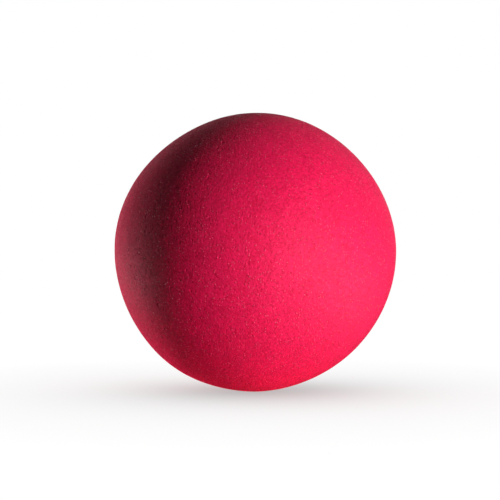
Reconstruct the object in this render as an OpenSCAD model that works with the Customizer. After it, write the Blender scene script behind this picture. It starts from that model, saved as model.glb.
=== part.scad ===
// Foam dodgeball: a soft cellular core inside a thin, dense skin.
// The centre of the ball is the origin, +Z is up, and all sizes are in millimetres.

/* [Ball] */
// Diameter over the skin, which is 8.5 inches on this ball
ball_d = 215.9; // [150:0.1:260]

/* [Skin] */
// Thickness of the dense skin, which covers the core without a break
skin_t = 0.8; // [0.3:0.1:3]

/* [Smoothness] */
// Facets round the ball when it is drawn
facets = 120; // [48:12:240]

/* [Hidden] */

// The core fills the skin with no gap, because the two are bonded all over
core_d = ball_d - 2 * skin_t;

// A ball of one diameter about the origin
module ball(d) {
    sphere(d = d, $fn = facets);
}

// Springy foam that fills the ball, with no bladder, winding or valve in it
module foam_core() {
    color("lightcoral")
        ball(core_d);
}

// Closed shell of dense foam, the only surface that is seen and touched
module outer_skin() {
    color("crimson")
        difference() {
            ball(ball_d);
            ball(core_d);
        }
}

foam_core();
outer_skin();
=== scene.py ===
"""Foam dodgeball, dressed for a studio picture.

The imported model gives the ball's diameter and the depth of its skin. Geometry Nodes grow the pitted
surface of both pieces from those sizes. Lengths are metres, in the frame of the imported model.
"""

import math

import bpy
from mathutils import Euler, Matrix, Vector


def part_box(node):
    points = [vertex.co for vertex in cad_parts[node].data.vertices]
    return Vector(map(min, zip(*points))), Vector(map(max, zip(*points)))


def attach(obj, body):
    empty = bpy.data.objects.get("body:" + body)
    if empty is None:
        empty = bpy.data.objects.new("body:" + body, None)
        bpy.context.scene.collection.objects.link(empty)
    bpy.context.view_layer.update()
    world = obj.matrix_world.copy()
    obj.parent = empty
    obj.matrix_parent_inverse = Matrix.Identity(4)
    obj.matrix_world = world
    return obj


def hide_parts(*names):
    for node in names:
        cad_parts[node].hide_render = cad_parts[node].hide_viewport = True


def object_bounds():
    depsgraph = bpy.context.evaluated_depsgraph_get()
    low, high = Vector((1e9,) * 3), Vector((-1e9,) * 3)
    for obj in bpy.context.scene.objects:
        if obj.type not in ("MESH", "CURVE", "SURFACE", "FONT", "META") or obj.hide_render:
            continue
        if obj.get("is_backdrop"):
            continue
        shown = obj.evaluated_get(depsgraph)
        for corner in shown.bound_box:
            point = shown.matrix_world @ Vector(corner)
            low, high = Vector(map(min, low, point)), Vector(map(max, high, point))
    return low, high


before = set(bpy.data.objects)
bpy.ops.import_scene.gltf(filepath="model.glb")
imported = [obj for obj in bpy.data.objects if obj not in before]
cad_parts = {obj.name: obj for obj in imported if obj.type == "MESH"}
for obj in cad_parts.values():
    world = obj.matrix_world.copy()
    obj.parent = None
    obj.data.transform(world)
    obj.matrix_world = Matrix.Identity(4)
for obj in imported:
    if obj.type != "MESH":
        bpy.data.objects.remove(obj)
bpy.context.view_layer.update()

MM = 0.001

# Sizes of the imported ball
skin_low, skin_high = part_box("outer_skin")
core_low, core_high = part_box("foam_core")
BALL_RADIUS = (skin_high[2] - skin_low[2]) / 2
CORE_RADIUS = (core_high[2] - core_low[2]) / 2

# How far the soft ball is from round: broad swells and shallow ripples. Each is a smooth noise, which
# seldom strays more than a quarter of its height from the true radius. The draw is the place in the
# noise at which the swells follow the pictured outline
SWELL_WIDTH = 100 * MM
SWELL_HEIGHT = 6.0 * MM
RIPPLE_WIDTH = 9 * MM
RIPPLE_HEIGHT = 0.14 * MM
WAVE_DRAW = (-0.69, 0.31, 0.54)
NOISE_MIDDLE = 0.5

# Cells that the surface cuts open: small pits side by side, and in a share of the places a larger
# bubble. The least hollow is a share of the largest, and a seed moves the pits to other places
PIT_SPACING = 1.9 * MM
PIT_RADIUS = 1.05 * MM
SKIN_PIT_DEPTH = 0.32 * MM
CORE_PIT_DEPTH = 0.6 * MM
BUBBLE_SPACING = 4.6 * MM
BUBBLE_RADIUS = 1.2 * MM
BUBBLE_DEPTH = 0.45 * MM
BUBBLE_SHARE = 0.3
LEAST_HOLLOW = 0.55
SKIN_SEED = 0.31
CORE_SEED = 0.57

# A ball starts as a cube from -1 to 1, made of six sheets of points. Where sheets meet, points that are
# nearer than the weld become one
CUBE_SIDE = 2
WELD = 0.0001

# Points along each edge of a sheet
SKIN_ROWS = 360
LINING_ROWS = 48
CORE_ROWS = 96

# The map that a texture bake uses: the six sheets, three across and two up, with a gap round each
MAP_NAME = "OFBake"
MAP_ACROSS = 3
MAP_UP = 2
MAP_GAP = 0.004

# Mark of how deep in a pit or a bubble each point of the surface lies
PORE = "pore"

# The finish: fine cells, pale flecks, grain of the ground faces, and slow clouds of the colour. The shade of
# a cell is how far the hollows take the colour to their deep red, a painted shade, and the glint of the
# flecks how far they take it to their pale colour, a painted glint. The grain and the clouds are noise,
# which counts as none at its low mark and as full at its high one
CELL_SPACING = 1.2 * MM
CELL_RADIUS = 0.84 * MM
CELL_DEPTH = 0.22 * MM
CELL_SHADE = 0.36
FLECK_SPACING = 1.7 * MM
FLECK_RADIUS = 0.77 * MM
FLECK_SHARE = 0.6
FLECK_RISE = 0.45 * MM
FLECK_GLINT = 0.15
GRAIN_WIDTH = 2.0 * MM
NOISE_DETAIL = 2.0
NOISE_LOW = 0.35
NOISE_HIGH = 0.65
CLOUD_WIDTH = 12 * MM
CLOUD_DARK = 0.96
CLOUD_PALE = 1.04
FACE_ROUGHNESS = 0.65
HOLLOW_ROUGHNESS = 0.85
FOAM_IOR = 1.5
SHEEN_LEVEL = 0.17
FLECK_ROUGHNESS = 0.3
FLECK_SHEEN = 0.45

# Numbers of a Mix node's sockets: two values, two colours, and the mixed colour that comes out
FIRST_VALUE = 2
SECOND_VALUE = 3
FIRST_COLOUR = 6
SECOND_COLOUR = 7
MIXED_COLOUR = 2

# The camera, level with the middle of the ball. The ball's radius and place are in pixels of the square
# picture, and the lens and its sensor are in millimetres
FRAME_PIXELS = 500
BALL_PIXELS = 139.9
BALL_AT_PIXELS = (255.1, 252.8)
LENS = 100
SENSOR = 36

# The lamps: degrees around from the camera to its right, degrees up, watts, whether a lamp lights the
# foam, and whether the foam mirrors it. The last two only lay a faint sheen on the foam
LAMP_DISTANCE = 1.3
LAMP_WIDTH = 0.25
LAMPS = {
    "key": (45, -4, 18.8, True, True),
    "rim": (-120, -10, 4.7, True, True),
    "low_rim": (-135, -20, 9.0, True, False),
    "right_sheen": (85, -25, 9.5, False, True),
    "left_sheen": (-85, 25, 0.8, False, True),
}

# The studio: a white floor that glows where the camera sees it, so that the ball's shadow is all it shows.
# That shadow is painted into the glow
WHITE = "#ffffff"
FLOOR_PAINT = "#f4f4f4"
FLOOR_REACH = 6.0
FLOOR_GLOW = 0.85
SHADOW_REACH = 0.25
SHADOW_LEVEL = 0.55
SHADOW_SAMPLES = 16


def linear(colour):
    """The linear red, green, blue and alpha of an sRGB colour written as hex, by the sRGB curve."""
    parts = [int(colour[i:i + 2], 16) / 255 for i in (1, 3, 5)]
    return (*[c / 12.92 if c <= 0.04045 else ((c + 0.055) / 1.055) ** 2.4 for c in parts], 1.0)


def add(tree, kind, inputs=None, **settings):
    """Adds a node with its settings. Inputs are named or numbered, and take a value, a socket or a node."""
    node = tree.nodes.new(kind)
    for name, value in settings.items():
        setattr(node, name, value)
    for name, value in (inputs or {}).items():
        if isinstance(value, bpy.types.Node):
            value = value.outputs[0]
        if isinstance(value, bpy.types.NodeSocket):
            tree.links.new(value, node.inputs[name])
        else:
            node.inputs[name].default_value = value
    return node


def hollows(tree, point, spacing, radius, share):
    """Round hollows at random places, of all sizes up to a radius: 0 outside, and deepest in the largest."""
    per_metre = add(tree, "ShaderNodeMath", {0: 1.0, 1: spacing}, operation="DIVIDE")
    cells = add(tree, "ShaderNodeTexVoronoi", {"Vector": point, "Scale": per_metre})
    chance = add(tree, "ShaderNodeSeparateXYZ", {0: cells.outputs["Color"]})
    there = add(tree, "ShaderNodeMath", {0: chance.outputs["X"], 1: share}, operation="LESS_THAN")
    size = add(tree, "ShaderNodeMapRange",
               {"Value": chance.outputs["Y"], "To Min": LEAST_HOLLOW, "To Max": 1.0})
    reach = add(tree, "ShaderNodeMath", {0: radius, 1: per_metre}, operation="MULTIPLY")
    reach = add(tree, "ShaderNodeMath", {0: reach, 1: size}, operation="MULTIPLY")
    bowl = add(tree, "ShaderNodeMapRange",
               {"Value": cells.outputs["Distance"], "From Min": 0.0, "From Max": reach,
                "To Min": size, "To Max": 0.0},
               interpolation_type="SMOOTHSTEP")
    return add(tree, "ShaderNodeMath", {0: bowl, 1: there}, operation="MULTIPLY")


def unit_ball(tree, rows):
    """Six square sheets bent to a closed ball of radius 1, with squares of nearly one size."""
    sheets = add(tree, "GeometryNodeJoinGeometry")
    # Quarter turns about X and Y that bring a sheet to each side of the cube
    turns = [(0, 0), (2, 0), (1, 0), (-1, 0), (0, 1), (0, -1)]
    for number, (about_x, about_y) in enumerate(turns):
        turn = Euler((about_x * math.pi / 2, about_y * math.pi / 2, 0))
        middle = turn.to_matrix() @ Vector((0, 0, CUBE_SIDE / 2))
        across, up = number % MAP_ACROSS, number // MAP_ACROSS
        low = (across / MAP_ACROSS + MAP_GAP, up / MAP_UP + MAP_GAP, 0)
        size = (1 / MAP_ACROSS - 2 * MAP_GAP, 1 / MAP_UP - 2 * MAP_GAP, 0)
        sheet = add(tree, "GeometryNodeMeshGrid",
                    {"Size X": CUBE_SIDE, "Size Y": CUBE_SIDE, "Vertices X": rows, "Vertices Y": rows})
        place = add(tree, "ShaderNodeVectorMath", {0: sheet.outputs["UV Map"], 1: size, 2: low},
                    operation="MULTIPLY_ADD")
        mapped = add(tree, "GeometryNodeStoreNamedAttribute",
                     {"Geometry": sheet, "Name": MAP_NAME, "Value": place},
                     data_type="FLOAT2", domain="CORNER")
        turned = add(tree, "GeometryNodeTransform",
                     {"Geometry": mapped, "Translation": middle, "Rotation": turn})
        tree.links.new(turned.outputs[0], sheets.inputs[0])
    welded = add(tree, "GeometryNodeMergeByDistance", {"Geometry": sheets, "Distance": WELD})
    # The points are drawn towards the middle of each side, so that on the ball they lie evenly
    at = add(tree, "GeometryNodeInputPosition")
    angle = add(tree, "ShaderNodeVectorMath", {0: at, "Scale": math.pi / 4}, operation="SCALE")
    even = add(tree, "ShaderNodeVectorMath", {0: angle}, operation="TANGENT")
    out = add(tree, "ShaderNodeVectorMath", {0: even}, operation="NORMALIZE")
    return add(tree, "GeometryNodeSetPosition", {"Geometry": welded, "Position": out})


def foam_tree(name, hollow):
    """A ball of cut foam, solid or with a plain lining inside it."""
    tree = bpy.data.node_groups.new(name, "GeometryNodeTree")
    for label, kind in (
        ("Radius", "Float"), ("Outer Radius", "Float"), ("Lining Radius", "Float"),
        ("Rows", "Int"), ("Lining Rows", "Int"), ("Wave Draw", "Vector"),
        ("Swell Width", "Float"), ("Swell Height", "Float"),
        ("Ripple Width", "Float"), ("Ripple Height", "Float"),
        ("Pit Spacing", "Float"), ("Pit Radius", "Float"), ("Pit Depth", "Float"),
        ("Bubble Spacing", "Float"), ("Bubble Radius", "Float"), ("Bubble Depth", "Float"),
        ("Bubble Share", "Float"), ("Seed", "Float"), ("Surface", "Material"),
    ):
        tree.interface.new_socket(label, in_out="INPUT", socket_type="NodeSocket" + kind)
    tree.interface.new_socket("Ball", in_out="OUTPUT", socket_type="NodeSocketGeometry")
    given = add(tree, "NodeGroupInput").outputs
    outward = add(tree, "GeometryNodeInputPosition")
    point = add(tree, "ShaderNodeVectorMath", {0: outward, "Scale": given["Outer Radius"]},
                operation="SCALE")

    # Swells and ripples, which the core and the skin share, so that they stay bonded
    drawn = add(tree, "ShaderNodeVectorMath", {0: point, 1: given["Wave Draw"]}, operation="ADD")
    shape = given["Radius"]
    for wave in ("Swell", "Ripple"):
        per_metre = add(tree, "ShaderNodeMath", {0: 1.0, 1: given[wave + " Width"]}, operation="DIVIDE")
        noise = add(tree, "ShaderNodeTexNoise", {"Vector": drawn, "Scale": per_metre, "Detail": 0.0})
        level = add(tree, "ShaderNodeMath", {0: noise.outputs["Fac"], 1: NOISE_MIDDLE},
                    operation="SUBTRACT")
        shape = add(tree, "ShaderNodeMath", {0: level, 1: given[wave + " Height"], 2: shape},
                    operation="MULTIPLY_ADD")

    # Pits and bubbles only cut into the surface
    seeded = add(tree, "ShaderNodeVectorMath", {0: point, 1: given["Seed"]}, operation="ADD")
    pits = hollows(tree, seeded, given["Pit Spacing"], given["Pit Radius"], 1.0)
    bubbles = hollows(tree, seeded, given["Bubble Spacing"], given["Bubble Radius"], given["Bubble Share"])
    cut = add(tree, "ShaderNodeMath", {0: pits, 1: given["Pit Depth"]}, operation="MULTIPLY")
    cut = add(tree, "ShaderNodeMath", {0: bubbles, 1: given["Bubble Depth"], 2: cut},
              operation="MULTIPLY_ADD")
    height = add(tree, "ShaderNodeMath", {0: shape, 1: cut}, operation="SUBTRACT")
    pore = add(tree, "ShaderNodeMath", {0: pits, 1: bubbles}, operation="MAXIMUM")

    marked = add(tree, "GeometryNodeStoreNamedAttribute",
                 {"Geometry": unit_ball(tree, given["Rows"]), "Name": PORE, "Value": pore})
    place = add(tree, "ShaderNodeVectorMath", {0: outward, "Scale": height}, operation="SCALE")
    ball = add(tree, "GeometryNodeSetPosition", {"Geometry": marked, "Position": place})
    if hollow:
        wall = add(tree, "ShaderNodeMath", {0: given["Radius"], 1: given["Lining Radius"]},
                   operation="SUBTRACT")
        inside = add(tree, "ShaderNodeMath", {0: shape, 1: wall}, operation="SUBTRACT")
        place = add(tree, "ShaderNodeVectorMath", {0: outward, "Scale": inside}, operation="SCALE")
        lining = add(tree, "GeometryNodeSetPosition",
                     {"Geometry": unit_ball(tree, given["Lining Rows"]), "Position": place})
        lining = add(tree, "GeometryNodeFlipFaces", {"Mesh": lining})
        both = add(tree, "GeometryNodeJoinGeometry", {"Geometry": ball})
        tree.links.new(lining.outputs[0], both.inputs[0])
        ball = both
    smooth = add(tree, "GeometryNodeSetShadeSmooth", {"Geometry": ball})
    real = add(tree, "GeometryNodeRealizeInstances", {"Geometry": smooth})
    done = add(tree, "GeometryNodeSetMaterial", {"Geometry": real, "Material": given["Surface"]})
    add(tree, "NodeGroupOutput", {"Ball": done})
    return tree


def grow(name, tree, values):
    """A plain mesh object made by a tree from its named values."""
    seedling = bpy.data.objects.new(name + "_seedling", bpy.data.meshes.new(name + "_seedling"))
    bpy.context.scene.collection.objects.link(seedling)
    modifier = seedling.modifiers.new("grow", "NODES")
    modifier.node_group = tree
    for item in tree.interface.items_tree:
        if item.in_out == "INPUT" and item.name in values:
            modifier[item.identifier] = values[item.name]
    graph = bpy.context.evaluated_depsgraph_get()
    mesh = bpy.data.meshes.new_from_object(
        seedling.evaluated_get(graph), preserve_all_data_layers=True, depsgraph=graph)
    mesh.name = name
    bpy.data.objects.remove(seedling)
    piece = bpy.data.objects.new(name, mesh)
    bpy.context.scene.collection.objects.link(piece)
    return piece


def foam_material(name, hollow, face, wall, glint_colour):
    """Flexible polyurethane foam, dyed through, whose surface is all cut cells.

    To the eye it is matte and finely grained. The hollows are painted a darker red than the faces between
    them, as shade, and the cell walls a paler one. Torn windows of the cells stand up as glossy flecks that
    catch light, and their pale colour is a painted glint.
    The real cells are about 0.4 mm wide. They are drawn three times as wide, so that they show.
    """
    material = bpy.data.materials.new(name)
    material.use_nodes = True
    tree = material.node_tree
    tree.nodes.clear()
    at = add(tree, "ShaderNodeTexCoord").outputs["Object"]
    grain = add(tree, "ShaderNodeTexNoise",
                {"Vector": at, "Scale": 1 / GRAIN_WIDTH, "Detail": NOISE_DETAIL})
    cloud = add(tree, "ShaderNodeTexNoise",
                {"Vector": at, "Scale": 1 / CLOUD_WIDTH, "Detail": NOISE_DETAIL})
    cells = hollows(tree, at, CELL_SPACING, CELL_RADIUS, 1.0)
    windows = hollows(tree, at, FLECK_SPACING, FLECK_RADIUS, FLECK_SHARE)
    pore = add(tree, "ShaderNodeAttribute", attribute_name=PORE).outputs["Fac"]

    # Colour: the grain of the ground faces, painted shade in the hollows, a painted glint on the flecks and
    # the slow clouds
    paler = add(tree, "ShaderNodeMapRange",
                {"Value": grain.outputs["Fac"], "From Min": NOISE_LOW, "From Max": NOISE_HIGH})
    colour = add(tree, "ShaderNodeMix",
                 {0: paler, FIRST_COLOUR: linear(face), SECOND_COLOUR: linear(wall)},
                 data_type="RGBA").outputs[MIXED_COLOUR]
    deep = add(tree, "ShaderNodeMath", {0: cells, 1: pore}, operation="MAXIMUM")
    # The hollows are darkened towards the hollow colour: painted shade
    pit_shade = add(tree, "ShaderNodeMath", {0: deep, 1: CELL_SHADE}, operation="MULTIPLY")
    colour = add(tree, "ShaderNodeMix",
                 {0: pit_shade, FIRST_COLOUR: colour, SECOND_COLOUR: linear(hollow)},
                 data_type="RGBA").outputs[MIXED_COLOUR]
    # The flecks are lightened towards their pale colour: a painted glint, beside their real gloss and rise
    glint_share = add(tree, "ShaderNodeMath", {0: windows, 1: FLECK_GLINT}, operation="MULTIPLY")
    colour = add(tree, "ShaderNodeMix",
                 {0: glint_share, FIRST_COLOUR: colour, SECOND_COLOUR: linear(glint_colour)},
                 data_type="RGBA").outputs[MIXED_COLOUR]
    level = add(tree, "ShaderNodeMapRange",
                {"Value": cloud.outputs["Fac"], "From Min": NOISE_LOW, "From Max": NOISE_HIGH,
                 "To Min": CLOUD_DARK, "To Max": CLOUD_PALE})
    colour = add(tree, "ShaderNodeVectorMath", {0: colour, "Scale": level}, operation="SCALE")

    # Relief: the flecks stand up and the fine cells are sunk, both in metres
    raised = add(tree, "ShaderNodeMath", {0: windows, 1: FLECK_RISE}, operation="MULTIPLY")
    sunk = add(tree, "ShaderNodeMath", {0: cells, 1: CELL_DEPTH}, operation="MULTIPLY")
    height = add(tree, "ShaderNodeMath", {0: raised, 1: sunk}, operation="SUBTRACT")
    relief = add(tree, "ShaderNodeBump", {"Height": height, "Strength": 1.0, "Distance": 1.0})

    # Sheen: faint on the cut cells and dullest in the hollows, but the flecks are thin glossy film
    rough = add(tree, "ShaderNodeMapRange",
                {"Value": deep, "To Min": FACE_ROUGHNESS, "To Max": HOLLOW_ROUGHNESS})
    rough = add(tree, "ShaderNodeMix",
                {0: windows, FIRST_VALUE: rough, SECOND_VALUE: FLECK_ROUGHNESS})
    sheen = add(tree, "ShaderNodeMapRange",
                {"Value": windows, "To Min": SHEEN_LEVEL, "To Max": FLECK_SHEEN})
    shader = add(tree, "ShaderNodeBsdfPrincipled",
                 {"Base Color": colour, "Roughness": rough, "Normal": relief, "IOR": FOAM_IOR,
                  "Specular IOR Level": sheen})
    add(tree, "ShaderNodeOutputMaterial", {"Surface": shader})
    return material


def softbox(name, around, up, power, lights, mirrored):
    """A square soft lamp, aimed at the middle of the ball."""
    turn, rise = math.radians(around), math.radians(up)
    way = Vector((math.sin(turn) * math.cos(rise), -math.cos(turn) * math.cos(rise), math.sin(rise)))
    lamp = bpy.data.lights.new(name, "AREA")
    lamp.size = LAMP_WIDTH
    lamp.energy = power
    holder = bpy.data.objects.new(name, lamp)
    holder.location = LAMP_DISTANCE * way
    holder.rotation_euler = (-way).to_track_quat("-Z", "Y").to_euler()
    holder.visible_camera = False
    holder.visible_diffuse = lights
    holder.visible_glossy = mirrored
    bpy.context.scene.collection.objects.link(holder)


def studio_world():
    """White where the camera or a reflection looks past the ball, and dark for all other light."""
    world = bpy.data.worlds.new("studio")
    world.use_nodes = True
    tree = world.node_tree
    tree.nodes.clear()
    path = add(tree, "ShaderNodeLightPath").outputs
    mirrored = add(tree, "ShaderNodeMath", {0: path["Is Glossy Ray"], 1: path["Is Transmission Ray"]},
                   operation="MAXIMUM")
    white = add(tree, "ShaderNodeMath", {0: path["Is Camera Ray"], 1: mirrored}, operation="MAXIMUM")
    backdrop = add(tree, "ShaderNodeBackground", {"Color": linear(WHITE), "Strength": white})
    add(tree, "ShaderNodeOutputWorld", {"Surface": backdrop})
    bpy.context.scene.world = world


def studio_floor(height):
    """A wide white floor that the camera sees as bright as the world, apart from a painted soft shadow under
    the ball.
    """
    mesh = bpy.data.meshes.new("floor")
    corners = [(x * FLOOR_REACH, y * FLOOR_REACH, height) for x, y in ((-1, -1), (1, -1), (1, 1), (-1, 1))]
    mesh.from_pydata(corners, [], [range(len(corners))])
    floor = bpy.data.objects.new("floor", mesh)
    bpy.context.scene.collection.objects.link(floor)
    material = bpy.data.materials.new("white_floor")
    material.use_nodes = True
    tree = material.node_tree
    tree.nodes.clear()
    path = add(tree, "ShaderNodeLightPath")
    share = add(tree, "ShaderNodeMath", {0: path.outputs["Is Camera Ray"], 1: FLOOR_GLOW},
                operation="MULTIPLY")
    paint = add(tree, "ShaderNodeBsdfDiffuse", {"Color": linear(FLOOR_PAINT)})
    # The glow dims where the ball hides the sky above the floor: the shadow under the ball is painted
    open_sky = add(tree, "ShaderNodeAmbientOcclusion", {"Distance": SHADOW_REACH}, samples=SHADOW_SAMPLES)
    glow_level = add(tree, "ShaderNodeMapRange",
                     {"Value": open_sky.outputs["AO"], "To Min": SHADOW_LEVEL, "To Max": 1 / FLOOR_GLOW})
    glow = add(tree, "ShaderNodeEmission", {"Color": linear(WHITE), "Strength": glow_level})
    seen = add(tree, "ShaderNodeMixShader", {0: share, 1: paint, 2: glow})
    add(tree, "ShaderNodeOutputMaterial", {"Surface": seen})
    mesh.materials.append(material)
    # It casts no shadow of its own, so that a lamp may stand lower than the ball's rest
    floor.visible_shadow = False
    floor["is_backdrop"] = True


def camera():
    """A level camera, as far away as makes the ball its size in the picture."""
    focal = LENS / SENSOR * FRAME_PIXELS
    distance = math.hypot(focal * BALL_RADIUS / BALL_PIXELS, BALL_RADIUS)
    data = bpy.data.cameras.new("camera")
    data.lens = LENS
    data.sensor_width = SENSOR
    data.shift_x = (FRAME_PIXELS / 2 - BALL_AT_PIXELS[0]) / FRAME_PIXELS
    data.shift_y = (BALL_AT_PIXELS[1] - FRAME_PIXELS / 2) / FRAME_PIXELS
    eye = bpy.data.objects.new("camera", data)
    eye.location = (0, -distance, 0)
    eye.rotation_euler = (math.pi / 2, 0, 0)
    bpy.context.scene.collection.objects.link(eye)
    bpy.context.scene.camera = eye


camera()
# The hollow colours are painted shade for the pits, and the last colours painted glints on the flecks
skin_foam = foam_material(
    "ground_polyurethane_foam", hollow="#a80632", face="#e90c48", wall="#ff1b5c", glint_colour="#ffc4d0")
core_foam = foam_material(
    "cut_polyurethane_foam", hollow="#c03050", face="#f0607c", wall="#ff90a4", glint_colour="#ffd8e0")

# The skin, with its lining against the core
skin_values = {
    "Radius": BALL_RADIUS,
    "Outer Radius": BALL_RADIUS,
    "Lining Radius": CORE_RADIUS,
    "Rows": SKIN_ROWS,
    "Lining Rows": LINING_ROWS,
    "Wave Draw": WAVE_DRAW,
    "Swell Width": SWELL_WIDTH,
    "Swell Height": SWELL_HEIGHT,
    "Ripple Width": RIPPLE_WIDTH,
    "Ripple Height": RIPPLE_HEIGHT,
    "Pit Spacing": PIT_SPACING,
    "Pit Radius": PIT_RADIUS,
    "Pit Depth": SKIN_PIT_DEPTH,
    "Bubble Spacing": BUBBLE_SPACING,
    "Bubble Radius": BUBBLE_RADIUS,
    "Bubble Depth": BUBBLE_DEPTH,
    "Bubble Share": BUBBLE_SHARE,
    "Seed": SKIN_SEED,
    "Surface": skin_foam,
}
skin = grow("ball_skin", foam_tree("skin", hollow=True), skin_values)
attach(skin, "root")
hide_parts("outer_skin")

# The core, which fills the skin
core_values = skin_values | {
    "Radius": CORE_RADIUS,
    "Rows": CORE_ROWS,
    "Pit Depth": CORE_PIT_DEPTH,
    "Seed": CORE_SEED,
    "Surface": core_foam,
}
core = grow("ball_core", foam_tree("core", hollow=False), core_values)
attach(core, "root")
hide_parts("foam_core")

# The studio
studio_world()
studio_floor(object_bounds()[0][2])
for lamp_name, aim in LAMPS.items():
    softbox(lamp_name, *aim)
bpy.context.scene.view_settings.view_transform = "Standard"
